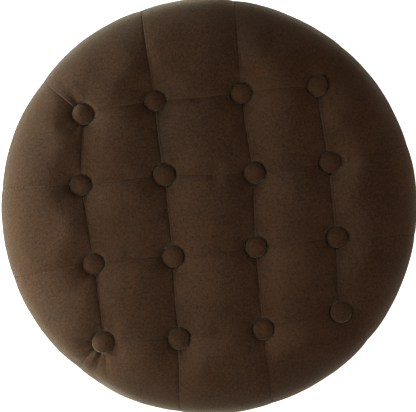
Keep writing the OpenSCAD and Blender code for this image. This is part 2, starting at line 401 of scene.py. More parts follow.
def arc_points(centre, radius, start, end, steps):
    """Points (r, z) on an arc; angles in degrees."""
    angles = np.radians(np.linspace(start, end, steps + 1))
    return [(centre[0] + radius * math.cos(a), centre[1] + radius * math.sin(a)) for a in angles]


class Profile:
    """A smooth outline in (r, z), looked up by the length along it, with normals to its left."""

    def __init__(self, points, fine=0.25 * MM):
        points = np.array(points, float)
        apart = np.hypot(*np.diff(points, axis=0).T) > 1e-7
        points = points[np.concatenate([[True], apart])]
        lengths = lengths_along(points)
        self.length = lengths[-1]
        self.s = np.linspace(0, self.length, int(self.length / fine) + 1)
        self.r = np.interp(self.s, lengths, points[:, 0])
        self.z = np.interp(self.s, lengths, points[:, 1])
        width = 9
        kernel = np.ones(width) / width
        tangent = np.stack([np.gradient(self.r, self.s), np.gradient(self.z, self.s)])
        tangent = np.array([np.convolve(np.pad(t, width // 2, "edge"), kernel, "valid") for t in tangent])
        tangent /= np.hypot(*tangent)
        self.nr, self.nz = -tangent[1], tangent[0]

    def at(self, s):
        return [np.interp(s, self.s, values) for values in (self.r, self.z, self.nr, self.nz)]


# ---------------- tufted lid

# The roll round the lid's edge starts ROLL_W in from the edge and falls ROLL_H before the side turns down
ROLL_W = 98 * MM
ROLL_H = 55 * MM
ROLL_SHAPE = 0.88
HEM_R = 8 * MM
SIDE_TAPER = 3 * MM
WRAP_R = LID_R - 63 * MM

# Depths below the top of the pads, which lies PAD_DROP below the CAD crest
PAD_DROP = 2.0 * MM
SEAM_DEPTH = 6.5 * MM
RIM_SEAM_DEPTH = 1.0 * MM
CREASE = 1.3 * MM
CREASE_REACH = 9 * MM
ROW_CREASE = 0.45
RIM_ROW_CREASE = 0.3
BOWL_DEPTH = 10.5 * MM
BOWL_R = 32 * MM
DIP_FLAT_R = 13.3 * MM
DIP_W = 4.0 * MM
PAD_POWER = 2.1
RIM_PAD_POWER = 6.0
RIM_VALLEY = 40 * MM
VELVET_T = 1.3 * MM

# Sample spacing next to a seam, from the seam outwards
SEAM_STEPS = [0, 0.4, 0.8, 1.3, 1.9, 2.6, 3.4, 4.4, 6.0, 8.5]
CELL_LENGTH = 104.0
CELL_MIDDLE_STEPS = 24
SIDE_STEPS = 9
UNDER_STEPS = 9

# Where the seams from the outer buttons meet the edge, in degrees from +X, and the button of each
RIM_SEAMS = [
    (11, (1, 3)), (44, (0, 3)), (77, (0, 2)), (103, (0, 1)), (137, (0, 0)), (169, (1, 0)),
    (194, (2, 0)), (225, (3, 0)), (256, (3, 1)), (282, (3, 2)), (314, (3, 3)), (346, (2, 3)),
]

# Small folds at each button, and how many times deeper they are where the cloth is pulled hardest
PUCKER = 0.45 * MM
STRONG_PUCKERS = {(3, 0): 1.8, (0, 3): 1.7, (0, 0): 1.6, (3, 3): 1.5, (2, 0): 1.3}

# Deep folds at a button, as (degrees from the outward direction, depth, reach) in mm
FOLD_SPREAD = 7.0
GATHERS = {
    (3, 0): [(-58, 4.2, 34), (-34, 5.6, 40), (-13, 3.0, 46), (20, 4.6, 44), (42, 3.8, 36)],
    (0, 0): [(-22, 1.2, 50), (24, 1.0, 55)],
    (0, 3): [(-22, 0.9, 44), (24, 1.0, 44)],
    (3, 3): [(-24, 1.0, 44), (22, 1.1, 50)],
    (2, 0): [(-30, 0.9, 36), (28, 0.9, 36)],
}

# Thicker places, as (two buttons, distance outwards from between them, height, spread) in mm
BULGES = [((1, 0), (2, 0), 2, 3.4, 34), ((2, 0), (3, 0), 2, 2.4, 32), ((2, 2), (2, 3), 0, 1.2, 30)]


def button_node(row, column):
    return f"button_r{row + 1}_c{column + 1}"


CENTRES = {(r, c): middle_of(button_node(r, c)) for r in range(ROWS) for c in range(COLUMNS)}
BUTTON_LOW, BUTTON_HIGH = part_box(button_node(0, 0))
SEAT_Z = BUTTON_LOW.z
BUTTON_R = (BUTTON_HIGH.x - BUTTON_LOW.x) / 2


def lid_profile():
    """The lid's outline, from the middle of its top over the roll and down the side to the hem."""
    turns = np.radians(np.linspace(0, 90, 120))
    roll_r = LID_R - ROLL_W + ROLL_W * np.sin(turns) ** ROLL_SHAPE
    roll_z = CREST - ROLL_H * (1 - np.cos(turns) ** ROLL_SHAPE)
    hem = arc_points((LID_R - SIDE_TAPER - HEM_R, LID_LOW.z + HEM_R), HEM_R, 0, -90, 12)
    return Profile([(0, CREST), *zip(roll_r, roll_z), *hem, (WRAP_R, LID_LOW.z)])


LID = lid_profile()
SIDE_S = LID.s[np.argmax(LID.r)]


def length_at(radius):
    """The length along the lid's outline at which its top reaches a radius."""
    top = LID.s <= SIDE_S
    return np.interp(radius, LID.r[top], LID.s[top])


def seam_line(a, b, t):
    """Plan positions along the seam from button a to button b; each seam bows a little to one side."""
    start, end = CENTRES[a], CENTRES[b]
    first, last = sorted((a, b))
    bow = random.Random(f"{first}{last}").uniform(-2.2, 2.2) * MM
    side = CENTRES[last] - CENTRES[first]
    side = np.array([-side[1], side[0]]) / np.hypot(*side)
    t = np.asarray(t)[..., None]
    return start + (end - start) * t + side * bow * 4 * t * (1 - t)


def crease(distance, over, strength):
    """The sewn line: one pad's cloth runs down into it, and the other's is folded over it and stitched."""
    d = distance / MM
    folded = CREASE * hump(d, 0.8, 1.6) + MM * (0.3 * hump(d - 3.3, 0.7) - 0.35 * hump(d - 1.6, 0.8))
    plain = CREASE * hump(d, 1.5, 1.2)
    return np.where(distance < CREASE_REACH, strength * (folded if over else plain), 0)


def joined(a, b, power):
    """The deeper of two depths, blended smoothly where they are alike."""
    return (a ** power + b ** power) ** (1 / power)


def nearest_button(x, y):
    """How far each place is from the nearest button's middle."""
    return np.min([np.hypot(x - c[0], y - c[1]) for c in CENTRES.values()], axis=0)


def around_button(key, x, y):
    """The distance and the bearing of each place from one button's middle."""
    dx, dy = x - CENTRES[key][0], y - CENTRES[key][1]
    return np.hypot(dx, dy), np.arctan2(dy, dx)


def dip(x, y, base_z):
    """How far the buttons pull the cloth down: a wide shallow bowl, and a cup just round each button."""
    away = nearest_button(x, y)
    cup = np.maximum(base_z - SEAT_Z, 0) * hump(np.maximum(away - DIP_FLAT_R, 0), DIP_W, 1.3)
    return BOWL_DEPTH * hump(away, BOWL_R), cup


def puckers(x, y):
    """Small folds that run out from each button, strongest where the cloth is gathered most."""
    total = np.zeros_like(x)
    for key in CENTRES:
        rng = random.Random(f"pucker {key}")
        away, angle = around_button(key, x, y)
        folds = sum(rng.uniform(0.4, 1) * np.cos(n * angle + rng.uniform(0, 6.28)) for n in (5, 8, 11, 15))
        strength = STRONG_PUCKERS.get(key, 1)
        total += PUCKER * strength * 0.5 * folds * hump(away - 19 * MM, 10 * MM * math.sqrt(strength))
    return total


def gathers(x, y):
    """Deep folds where the cloth is bunched between a corner button and the edge."""
    total = np.zeros_like(x)
    for key, folds in GATHERS.items():
        away, angle = around_button(key, x, y)
        outwards = math.atan2(CENTRES[key][1], CENTRES[key][0])
        angle = np.degrees((angle - outwards + math.pi) % (2 * math.pi) - math.pi)
        for turn, depth, reach in folds:
            run = smoothstep((away - 12 * MM) / (6 * MM)) * hump(away, reach * MM, 3)
            total += depth * MM * hump(angle - turn, FOLD_SPREAD) * run
    return total


def bulges(x, y):
    """Places where the stuffing lies thicker than elsewhere."""
    total = np.zeros_like(x)
    for a, b, out, height, spread in BULGES:
        middle = (CENTRES[a] + CENTRES[b]) / 2
        middle = middle * (1 + out * MM / np.hypot(*middle))
        total += height * MM * hump(np.hypot(x - middle[0], y - middle[1]), spread * MM)
    return total


def cell_fractions():
    """Where the grid lines of a pad lie between its seams, from 0 to 1."""
    near = np.array(SEAM_STEPS) / CELL_LENGTH
    middle = np.linspace(near[-1], 1 - near[-1], CELL_MIDDLE_STEPS + 1)[1:-1]
    return np.concatenate([near, middle, (1 - near)[::-1]])


def inner_cell(row, column, t):
    """Plan positions, depth and crease of the pad between four buttons."""
    tl, tr, bl, br = [(row + i, column + j) for i in (0, 1) for j in (0, 1)]
    u, v = t[:, None, None], t[None, :, None]
    top, bottom = seam_line(tl, tr, t)[:, None], seam_line(bl, br, t)[:, None]
    left, right = seam_line(tl, bl, t)[None], seam_line(tr, br, t)[None]
    corners = (
        (1 - u) * (1 - v) * CENTRES[tl] + u * (1 - v) * CENTRES[tr]
        + (1 - u) * v * CENTRES[bl] + u * v * CENTRES[br]
    )
    plan = (1 - v) * top + v * bottom + (1 - u) * left + u * right - corners
    u, v = u[..., 0], v[..., 0]
    across, down = np.abs(2 * u - 1) ** PAD_POWER, np.abs(2 * v - 1) ** PAD_POWER
    depth = SEAM_DEPTH * (across + down - across * down)
    cell = CELL_LENGTH * MM
    line = crease(u * cell, True, 1.0) + crease((1 - u) * cell, False, 1.0)
    line = line + crease(v * cell, True, ROW_CREASE) + crease((1 - v) * cell, False, ROW_CREASE)
    return plan, depth, line


def rim_rows(start_s):
    """Lengths along the lid's profile from a seam out to the hem under the lid."""
    near = start_s + np.array(SEAM_STEPS) * MM
    middle = np.linspace(near[-1], SIDE_S, CELL_MIDDLE_STEPS + 1)[1:]
    side = np.linspace(SIDE_S, SIDE_S + 50 * MM, SIDE_STEPS + 1)[1:]
    under = np.linspace(SIDE_S + 50 * MM, LID.length, UNDER_STEPS + 1)[1:]
    return np.concatenate([near, middle, side, under])


def rim_plan(inner, angles, s):
    """Plan positions of a border pad: straight out from its inner seam, and then down the side."""
    direction = np.stack([np.cos(angles), np.sin(angles)], axis=1)
    r = LID.at(s)[0]
    out = LID_R * direction - inner
    along = (inner * out).sum(1)[:, None]
    length2 = (out ** 2).sum(1)[:, None]
    reach = np.sqrt(np.maximum(along ** 2 + length2 * (r ** 2 - (inner ** 2).sum(1)[:, None]), 0))
    w = np.clip((reach - along) / length2, 0, 1)[..., None]
    top = inner[:, None] + w * out[:, None]
    return np.where((s <= SIDE_S)[..., None], top, direction[:, None] * r[..., None])


def rim_depth(u, out, run, below):
    """Depth of a border pad: a valley along its inner seam, and shallow ones along the seams beside it."""
    share = np.clip(out / run, 0, 1)
    inward = np.clip(1 - out / np.minimum(RIM_VALLEY, 0.62 * run), 0, 1) ** PAD_POWER
    across = np.abs(2 * u - 1) ** (PAD_POWER + (RIM_PAD_POWER - PAD_POWER) * smoothstep(share))
    radial = RIM_SEAM_DEPTH + (SEAM_DEPTH - RIM_SEAM_DEPTH) * (1 - smoothstep(share * 1.2))
    return SEAM_DEPTH * inward * (1 - across) + radial * (1 - below) * across


def rim_cell(index, t):
    """The border pad between two seams that run out from the outer buttons and over the edge."""
    (angle_a, a), (angle_b, b) = RIM_SEAMS[index], RIM_SEAMS[(index + 1) % len(RIM_SEAMS)]
    angle_b += 360 if angle_b < angle_a else 0
    angles = np.radians(angle_a + (angle_b - angle_a) * t)
    inner = seam_line(a, b, t)
    start_s = length_at(np.hypot(*inner.T))[:, None]
    s = np.array([rim_rows(start) for start in start_s[:, 0]])
    plan = rim_plan(inner, angles, s)
    below = smoothstep((s - SIDE_S) / (50 * MM))
    out, run = s - start_s, SIDE_S - start_s
    depth = rim_depth(t[:, None], out, run, below)
    fade = (1 - 0.6 * np.clip(out / run, 0, 1)) * (1 - below)
    width = np.hypot(*(plan[-1] - plan[0]).T)[None]
    turn = (angles[0] + angles[-1]) / 2
    line = crease(out, math.cos(turn) > math.sin(turn), 1.0 if a[1] == b[1] else ROW_CREASE)
    line = line + crease(t[:, None] * width, over_left(angle_a), rim_crease(a)) * fade
    line = line + crease((1 - t[:, None]) * width, not over_left(angle_b), rim_crease(b)) * fade
    return plan, s, depth, line


def over_left(angle):
    """Whether the cloth is folded over on the side of a rim seam that lies counterclockwise of it."""
    return 150 < angle % 360 < 330


def rim_crease(button):
    return RIM_ROW_CREASE if button in ((1, 0), (2, 0), (1, 3), (2, 3)) else 0.8


def shape_grid(plan, s, depth, line, flipped):
    """A pad pressed in from the lid's outline: (points on the outline, shaped points, flipped)."""
    r, z, nr, nz = LID.at(s)
    x, y = plan[..., 0], plan[..., 1]
    base = np.stack([x, y, z], axis=-1)
    radius = np.maximum(np.hypot(x, y), 1e-9)
    lean = np.where(s > SIDE_S, 1, smoothstep((r - LID_R + 50 * MM) / (35 * MM)))
    push = unit(np.stack([nr * x / radius * lean, nr * y / radius * lean, 1 - lean + nz * lean], axis=-1))
    on_top = 1 - smoothstep((s - SIDE_S + 20 * MM) / (20 * MM))
    bowl, cup = dip(x, y, z)
    total = joined(joined(depth, bowl * on_top, 2) + PAD_DROP * on_top, cup * on_top, 3)
    fade = 1 - smoothstep((s - SIDE_S - 25 * MM) / (25 * MM))
    lumps = (1.3 * uneven(base, 75 * MM, 1) + 0.45 * uneven(base, 26 * MM, 2)) * MM * fade
    total = total + line - lumps + (gathers(x, y) - puckers(x, y) - bulges(x, y)) * on_top
    return base, base - push * total[..., None], flipped


def lid_surface():
    """Every pad of the lid, before they are welded, as shape_grid gives it."""
    t = cell_fractions()
    grids = []
    for row in range(ROWS - 1):
        for column in range(COLUMNS - 1):
            plan, depth, line = inner_cell(row, column, t)
            grids.append((plan, length_at(flat_radius(plan)), depth, line, True))
    for index in range(len(RIM_SEAMS)):
        grids.append((*rim_cell(index, t), False))
    return [shape_grid(*grid) for grid in grids]


def weld(grids):
    """Joins grids along their shared seams: (the vertex of every grid point, quads)."""
    base = np.concatenate([grid[0].reshape(-1, 3) for grid in grids])
    tree = KDTree(len(base))
    for i, point in enumerate(base):
        tree.insert(point, i)
    tree.balance()
    first = [min(found[1] for found in tree.find_range(point, 0.02 * MM)) for point in base]
    _, vertex_of = np.unique(first, return_inverse=True)
    quads, start = [], 0
    for grid, _, flipped in grids:
        made = grid_faces(*grid.shape[:2], first=start)
        made = [tuple(vertex_of[i] for i in quad) for quad in made]
        quads += [quad[::-1] for quad in made] if flipped else made
        start += grid.shape[0] * grid.shape[1]
    return vertex_of, quads


def welded_points(vertex_of, grids):
    """One point for every welded vertex, from the grids' shaped points."""
    shaped = np.concatenate([grid[1].reshape(-1, 3) for grid in grids])
    points = np.zeros((vertex_of.max() + 1, 3))
    points[vertex_of] = shaped
    return points


# ---------------- the lid's cloth, blown up over its stuffing

# How far a point may move at most, how far from a button it is held, and how much less a border pad swells
SWELL_CAP = 6.0 * MM
PIN_R = 15.5 * MM
RIM_SWELL = 0.45
SWELL_FRAMES = 20
CLOTH = {
    "quality": 6, "mass": 0.25, "tension_stiffness": 12, "compression_stiffness": 12, "shear_stiffness": 4,
    "bending_stiffness": 1.5, "shrink_min": -0.006, "use_pressure": True, "uniform_pressure_force": 2.5,
    "vertex_group_mass": "held",
}

# The rows next to a seam that a thinned grid keeps
KEPT_NEAR = np.array([0, 3, 6, 8])


def thin_index(last, sewn_at_both):
    """The rows of a fine grid, up to the row last, that are kept for the simulation and for the foam."""
    near = len(SEAM_STEPS)
    middle = np.arange(near, last - near + 1 if sewn_at_both else last, 2)
    end = last - KEPT_NEAR[::-1] if sewn_at_both else [last]
    return np.concatenate([KEPT_NEAR, middle, end])


def thinned(grid, last=None):
    """A grid with fewer rows, cut off at the row last: ((base, shaped, flipped), rows across, rows out)."""
    base, shaped, flipped = grid
    across = thin_index(base.shape[0] - 1, True)
    out = thin_index(base.shape[1] - 1, True) if flipped else thin_index(last or base.shape[1] - 1, False)
    pick = np.ix_(across, out)
    return (base[pick], shaped[pick], flipped), across, out


def smooth_curve(knots, values, at):
    """A smooth curve through values given at knots, along the first axis."""
    slope = np.gradient(values, knots, axis=0)
    i = np.clip(np.searchsorted(knots, at, side="right") - 1, 0, len(knots) - 2)
    step = knots[i + 1] - knots[i]
    x = ((at - knots[i]) / step)[:, None, None]
    step = step[:, None, None]
    return (
        values[i] * (1 + 2 * x) * (1 - x) ** 2 + values[i + 1] * x * x * (3 - 2 * x)
        + step * (slope[i] * x * (1 - x) ** 2 - slope[i + 1] * x * x * (1 - x))
    )


def run_cloth(points, quads, held):
    """Inflates a sheet that is held at some points, and gives back where its points end."""
    mesh = bpy.data.meshes.new("swelling")
    mesh.from_pydata([tuple(p) for p in points], [], quads)
    sheet = placed("swelling", mesh)
    scene = bpy.context.scene
    pins = sheet.vertex_groups.new(name="held")
    pins.add([int(i) for i in np.flatnonzero(held)], 1.0, "REPLACE")
    settings = sheet.modifiers.new("cloth", "CLOTH").settings
    for name, value in CLOTH.items():
        setattr(settings, name, value)
    settings.effector_weights.gravity = 0
    for frame_number in range(1, SWELL_FRAMES + 1):
        scene.frame_set(frame_number)
    graph = bpy.context.evaluated_depsgraph_get()
    moved = np.array([v.co for v in sheet.evaluated_get(graph).data.vertices])
    scene.frame_set(1)
    bpy.data.objects.remove(sheet)
    bpy.data.meshes.remove(mesh)
    return moved


def held_points(parts, vertex_of, points):
    """Which points stay where they are: those on the edges of a pad and those round a button."""
    held = nearest_button(points[:, 0], points[:, 1]) < PIN_R
    start = 0
    for base, _, _ in parts:
        index = np.arange(start, start + base[..., 0].size).reshape(base.shape[:2])
        for edge in (index[0], index[-1], index[:, 0], index[:, -1]):
            held[vertex_of[edge]] = True
        start += index.size
    return held


def carried_over(shift, base, across, out):
    """A thinned grid's shifts, laid smoothly over the fine grid that it was taken from."""
    steps = [np.linalg.norm(np.diff(base, axis=k), axis=2).mean(1 - k) for k in (0, 1)]
    t_at, s_at = [np.concatenate([[0], np.cumsum(step)]) for step in steps]
    fine = smooth_curve(t_at[across], shift, t_at).transpose(1, 0, 2)
    return smooth_curve(s_at[out], fine, s_at[:out[-1] + 1]).transpose(1, 0, 2)


def swollen(grids):
    """The lid's cloth, simulated: held at the buttons, along the seams and below the side."""
    side_row = len(SEAM_STEPS) + CELL_MIDDLE_STEPS + SIDE_STEPS - 1
    coarse = [thinned(grid, side_row) for grid in grids]
    parts = [part for part, _, _ in coarse]
    vertex_of, quads = weld(parts)
    points = welded_points(vertex_of, parts)
    moved = run_cloth(points, quads, held_points(parts, vertex_of, points)) - points
    moved *= SWELL_CAP / (SWELL_CAP + np.linalg.norm(moved, axis=1, keepdims=True))
    near_edge = smoothstep((flat_radius(points) - LID_R + 60 * MM) / (45 * MM))
    moved *= 1 - 0.75 * near_edge[:, None]
    result, start = [], 0
    for (base, shaped, flipped), (part, across, out) in zip(grids, coarse):
        count = part[0][..., 0].size
        shift = moved[vertex_of[start:start + count]].reshape(part[0].shape)
        start += count
        shaped = shaped.copy()
        shaped[:, :out[-1] + 1] += carried_over(shift, base, across, out) * (1 if flipped else RIM_SWELL)
        result.append((base, shaped, flipped))
    return result


# ---------------- the lid's cover, foam and stitches


def make_lid_cover(grids):
    vertex_of, quads = weld(grids)
    points = welded_points(vertex_of, grids)
    cover = mesh_piece("tufted_cover", points, quads, "velvet", "lid", "lid_cover")
    solidify(cover, VELVET_T)


def close_under(points, quads, rings, end_z):
    """Carries an open round grid on through rings of (radius, height), and closes it with a flat disc."""
    edges = dict.fromkeys((a, b) for quad in quads for a, b in zip(quad, quad[1:] + quad[:1]))
    following = {b: a for a, b in edges if (b, a) not in edges}
    start = next(iter(following))
    loop = [start]
    while following[loop[-1]] != start:
        loop.append(following[loop[-1]])
    points, quads = [tuple(p) for p in points], list(quads)
    for radius, height in rings:
        fresh = []
        for i in loop:
            x, y, _ = points[i]
            away = math.hypot(x, y)
            fresh.append(len(points))
            points.append((x * radius / away, y * radius / away, height))
        count = len(loop)
        quads += [(loop[i], loop[(i + 1) % count], fresh[(i + 1) % count], fresh[i]) for i in range(count)]
        loop = fresh
    points.append((0, 0, end_z))
    middle = len(points) - 1
    quads += [(loop[i], loop[(i + 1) % len(loop)], middle) for i in range(len(loop))]
    return points, quads


def make_lid_foam(grids):
    """The foam follows the cover from just inside it, and sits round and on the board."""
    shells = []
    for grid in grids:
        base, shaped, flipped = thinned(grid)[0]
        near = nearest_button(base[..., 0], base[..., 1])
        gap = VELVET_T + (0.5 + 3.5 * (1 - smoothstep((near - 20 * MM) / (12 * MM)))) * MM
        rows = base.shape[1] if flipped else int(np.argmax(base[0, :, 2] < LID_LOW.z + 3 * MM))
        side = smoothstep((flat_radius(base) - LID_R + 45 * MM) / (35 * MM))
        inner = pushed_out(shaped, -gap * side)
        inner[..., 2] -= gap * (1 - side * 0.8)
        shells.append((base[:, :rows], inner[:, :rows], flipped))
    vertex_of, quads = weld(shells)
    points = welded_points(vertex_of, shells)
    board_r = BOARD_HIGH.x + 0.3 * MM
    top = BOARD_HIGH.z + 0.3 * MM
    points, quads = close_under(points, quads, [(board_r, BOARD_LOW.z + 1.2 * MM), (board_r, top)], top)
    foam = mesh_piece("tufted_foam", points, quads, "foam", "lid", "lid_foam")
    outward(foam)


STITCH_L = 2.6 * MM
STITCH_R = 0.8 * MM
STITCH_PITCH = 4.6 * MM
LID_STITCH_LIFT = 0.95 * MM
DRUM_STITCH_LIFT = 0.4 * MM


def stitch_shape():
    """A short thread with rounded ends, along X: (points, faces)."""
    rings, around = 7, 6
    points = []
    for along in np.linspace(-1, 1, rings):
        radius = STITCH_R * max(0.12, (1 - along ** 4) ** 0.5)
        turns = even_turn(around)
        points += [(along * STITCH_L / 2, radius * math.cos(a), radius * math.sin(a)) for a in turns]
    faces = [face[::-1] for face in grid_faces(rings, around, wrapped=True)]
    ends = [tuple(reversed(range(around))), tuple(range((rings - 1) * around, rings * around))]
    return np.array(points), faces + ends


def value_at(at, lengths, values):
    """Points or directions along a line, looked up by length."""
    return np.array([np.interp(at, lengths, column) for column in values.T])


def stitches_along(lines, lift):
    """Stitches at an even pitch on each line of (points, outward directions)."""
    shape, shape_faces = stitch_shape()
    points, faces = [], []
    for line, out in lines:
        lengths = lengths_along(line)
        for at in np.arange(STITCH_PITCH, lengths[-1], STITCH_PITCH):
            x = unit(value_at(at + 1 * MM, lengths, line) - value_at(at - 1 * MM, lengths, line))
            y = unit(np.cross(value_at(at, lengths, out), x))
            z = np.cross(x, y)
            faces += [tuple(len(points) + i for i in face) for face in shape_faces]
            points += list(value_at(at, lengths, line) + z * lift + shape @ np.stack([x, y, z]))
    return points, faces


def make_lid_stitches(grids):
    """Thread shows where the seams run over the roll to the hem."""
    lines = []
    for base, shaped, flipped in grids:
        if flipped:
            continue
        shown = (flat_radius(base[0]) > LID_R - 40 * MM) & (base[0, :, 2] > LID_LOW.z + 12 * MM)
        line = shaped[0][shown]
        out = line.copy()
        out[:, 2] = np.maximum(line[:, 2] - CREST + ROLL_H * 1.4, 0) * 4
        lines.append((line, unit(out)))
    points, faces = stitches_along(lines, LID_STITCH_LIFT)
    mesh_piece("lid_seam_stitches", points, faces, "thread", "lid")


# ---------------- buttons

BUTTON_TILT = 7.0
BUTTON_CROWN = 1.0 * MM
BUTTON_STEPS = 48


def button_outline():
    """The covered cap from the middle of its crown round the rim to the plate it hides: (r, z)."""
    height = BUTTON_HIGH.z - SEAT_Z + BUTTON_CROWN
    plate_r, plate_z = 10.2 * MM, 1.3 * MM
    rim_z = 3.0 * MM
    crown = [
        (BUTTON_R * math.sin(a), rim_z + (height - rim_z) * math.cos(a) ** 0.95)
        for a in np.radians(np.linspace(0, 88, 20))
    ]
    under = arc_points((BUTTON_R - rim_z, rim_z), rim_z, 0, -90, 6)
    return crown + under + [(plate_r, 0), (plate_r, plate_z), (plate_r / 2, plate_z), (0, plate_z)]


def make_button(row, column):
    """A velvet-covered button, pulled a little to one side by its thread."""
    rng = random.Random(f"button {row} {column}")
    angles = even_turn(BUTTON_STEPS)
    points = turned(button_outline(), angles)
    shift = uneven(points + rng.uniform(0, 1), 11 * MM, row * 4 + column)
    ripple = sum(size * np.cos(angles * waves + rng.uniform(0, 6)) for size, waves in ((1, 17), (0.7, 11)))
    edge = smoothstep((flat_radius(points) - 0.75 * BUTTON_R) / (0.25 * BUTTON_R))
    edge = edge * (points[..., 2] < 5.2 * MM)
    points[..., 2] += 0.35 * MM * shift * (points[..., 2] > 2 * MM)
    points[..., :2] *= (1 + 0.012 * ripple[:, None] * edge)[..., None]
    tilts = [math.radians(rng.uniform(-1, 1) * BUTTON_TILT) for _ in range(2)]
    points = points @ np.array(Euler((*tilts, 0)).to_matrix()).T + (*CENTRES[row, column], SEAT_Z)
    node = button_node(row, column)
    outward(turned_piece(f"covered_{node}", points, "button_velvet", "lid", node), poles=True)


# ---------------- drum

DRUM_STEPS = 320
RIM_R = 10 * MM
RIM_INNER_R = 4 * MM
HEM_DRUM_R = 6 * MM
BACK_ANGLE = math.pi / 2


def drum_outline():
    bay_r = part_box("bay_trim")[1].x
    top, low = DRUM_HIGH.z, DRUM_LOW.z
    side_low, side_high = low + HEM_DRUM_R, top - RIM_R
    return (
        [(DRUM_R - 36 * MM, low), (DRUM_R - 26 * MM, low), (DRUM_R - 16 * MM, low)]
        + arc_points((DRUM_R - HEM_DRUM_R, side_low), HEM_DRUM_R, -90, 0, 8)
        + [(DRUM_R, z) for z in np.linspace(side_low, side_high, 62)[1:-1]]
        + arc_points((DRUM_R - RIM_R, side_high), RIM_R, 0, 90, 10)
        + [(r, top) for r in np.linspace(DRUM_R - RIM_R, bay_r + RIM_INNER_R, 7)[1:-1]]
        + arc_points((bay_r + RIM_INNER_R, top - RIM_INNER_R), RIM_INNER_R, 90, 180, 6)
        + [(bay_r, z) for z in np.linspace(top - RIM_INNER_R, top - 26 * MM, 8)[1:]]
    )


def seam_ridge(angles, width, height):
    """The drum's back seam: a groove with a soft swell on either side."""
    away = np.abs((angles - BACK_ANGLE + math.pi) % (2 * math.pi) - math.pi) * DRUM_R / width
    return height * (0.8 * hump(away - 2.6, 1.4) - 1.6 * hump(away, 1))


def drum_angles(steps):
    """Even angles round the drum, closer together next to the back seam."""
    even = np.linspace(-1, 1, steps, endpoint=False)
    bent = np.sign(even) * (0.35 * np.abs(even) + 0.65 * np.abs(even) ** 2.2)
    return BACK_ANGLE + math.pi * bent


def make_drum_cover():
    """The drum's velvet, with stitches up its back seam."""
    outline = drum_outline()
    angles = drum_angles(DRUM_STEPS)
    points = turned(outline, angles)
    r, z = np.array(outline).T
    on_side = r > DRUM_R - 1 * MM
    height = np.clip((z - DRUM_LOW.z) / (DRUM_HIGH.z - DRUM_LOW.z), 0, 1)
    drawn = points * (1, 1, 0.45)
    slack = (0.9 * uneven(drawn, 90 * MM, 5) + 0.35 * uneven(drawn, 28 * MM, 6)) * MM
    pleats = np.cos(angles * 61 + 2 * np.sin(angles * 7)) + 0.6 * np.cos(angles * 97)
    hem = 0.45 * MM * pleats[:, None] * np.exp(-height * 16)
    swell = 1.1 * MM * np.sin(math.pi * height) ** 0.7
    seam = seam_ridge(angles, 1.3 * MM, 0.8 * MM)[:, None]
    points = pushed_out(points, (slack + hem + swell + seam) * on_side)
    cover = turned_piece("drum_velvet", points, "velvet", "base", "drum_cover")
    solidify(cover, 1.2 * MM)
    line = points[int(np.argmin(np.abs(angles - BACK_ANGLE)))][on_side]
    points, faces = stitches_along([(line, unit(line * (1, 1, 0)))], DRUM_STITCH_LIFT)
    mesh_piece("drum_seam_stitches", points, faces, "thread", "base")


# ---------------- inside of the drum and of the lid

BRAID_WAVES = 120
CORD_SIDES = 6


def make_bay_lining():
    """The cloth round the storage room, a little slack between its top and bottom edges."""
    low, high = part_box("bay_lining")
    radius = high.x - 1.0 * MM
    zs = np.linspace(low.z + 0.2 * MM, high.z, 26)
    angles = even_turn(288)
    points = turned([(radius, z) for z in zs], angles)
    height = (zs - low.z) / (high.z - low.z)
    folds = (0.5 * np.cos(angles * 23 + 3 * np.sin(angles * 3)) + 0.3 * np.cos(angles * 41))[:, None]
    slack = uneven(points * (1, 1, 0.3), 55 * MM, 9)
    inward = -(0.5 + 0.4 * slack + 0.35 * folds * (0.35 + 0.65 * (1 - np.sin(math.pi * height))))
    points = pushed_out(points, np.clip(inward, -1.4, 0) * MM)
    lining = turned_piece("bay_lining_cloth", points, "lining", "base", "bay_lining")
    solidify(lining, 0.5 * MM)


def cord_ring(centres, radius):
    """A closed round cord through a ring of points: (points, faces)."""
    tangent = unit(np.roll(centres, -1, 0) - np.roll(centres, 1, 0))
    side = unit(np.cross(tangent, unit(centres * (1, 1, 0))))
    out = np.cross(side, tangent)
    turns = even_turn(CORD_SIDES)[:, None]
    points = centres[:, None] + radius * (np.cos(turns) * out[:, None] + np.sin(turns) * side[:, None])
    return points.reshape(-1, 3), grid_faces(len(centres), CORD_SIDES, closed=True, wrapped=True)


def make_bay_trim():
    """Flat braid over the raw edges: two crossing strands between two edge cords, on a woven band."""
    low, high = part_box("bay_trim")
    radius, middle, half = high.x, (low.z + high.z) / 2, (high.z - low.z) / 2
    parts = []
    for phase in (0, math.pi):
        angles = even_turn(BRAID_WAVES * 12)
        wave = BRAID_WAVES * angles + phase
        strand_r = radius - 0.75 * MM - 0.22 * MM * np.cos(2 * wave)
        path = ring_points(strand_r, angles, middle + (half - 2.4 * MM) * np.sin(wave))
        parts.append(cord_ring(path, 0.75 * MM))
    for z in (low.z + 0.8 * MM, high.z - 0.8 * MM):
        parts.append(cord_ring(ring_points(radius - 0.7 * MM, even_turn(360), z), 0.78 * MM))
    back, band_low, band_high = radius - 0.35 * MM, low.z + 0.3 * MM, high.z - 0.3 * MM
    corners = [(radius, band_low), (radius, band_high), (back, band_high), (back, band_low)]
    band = turned(corners + corners[:1], even_turn(360))
    parts.append((band.reshape(-1, 3), grid_faces(*band.shape[:2], closed=True)))
    points, faces = [], []
    for part_points, part_faces in parts:
        faces += [tuple(len(points) + i for i in face) for face in part_faces]
        points += list(part_points)
    outward(mesh_piece("bay_braid", points, faces, "braid", "base", "bay_trim"))


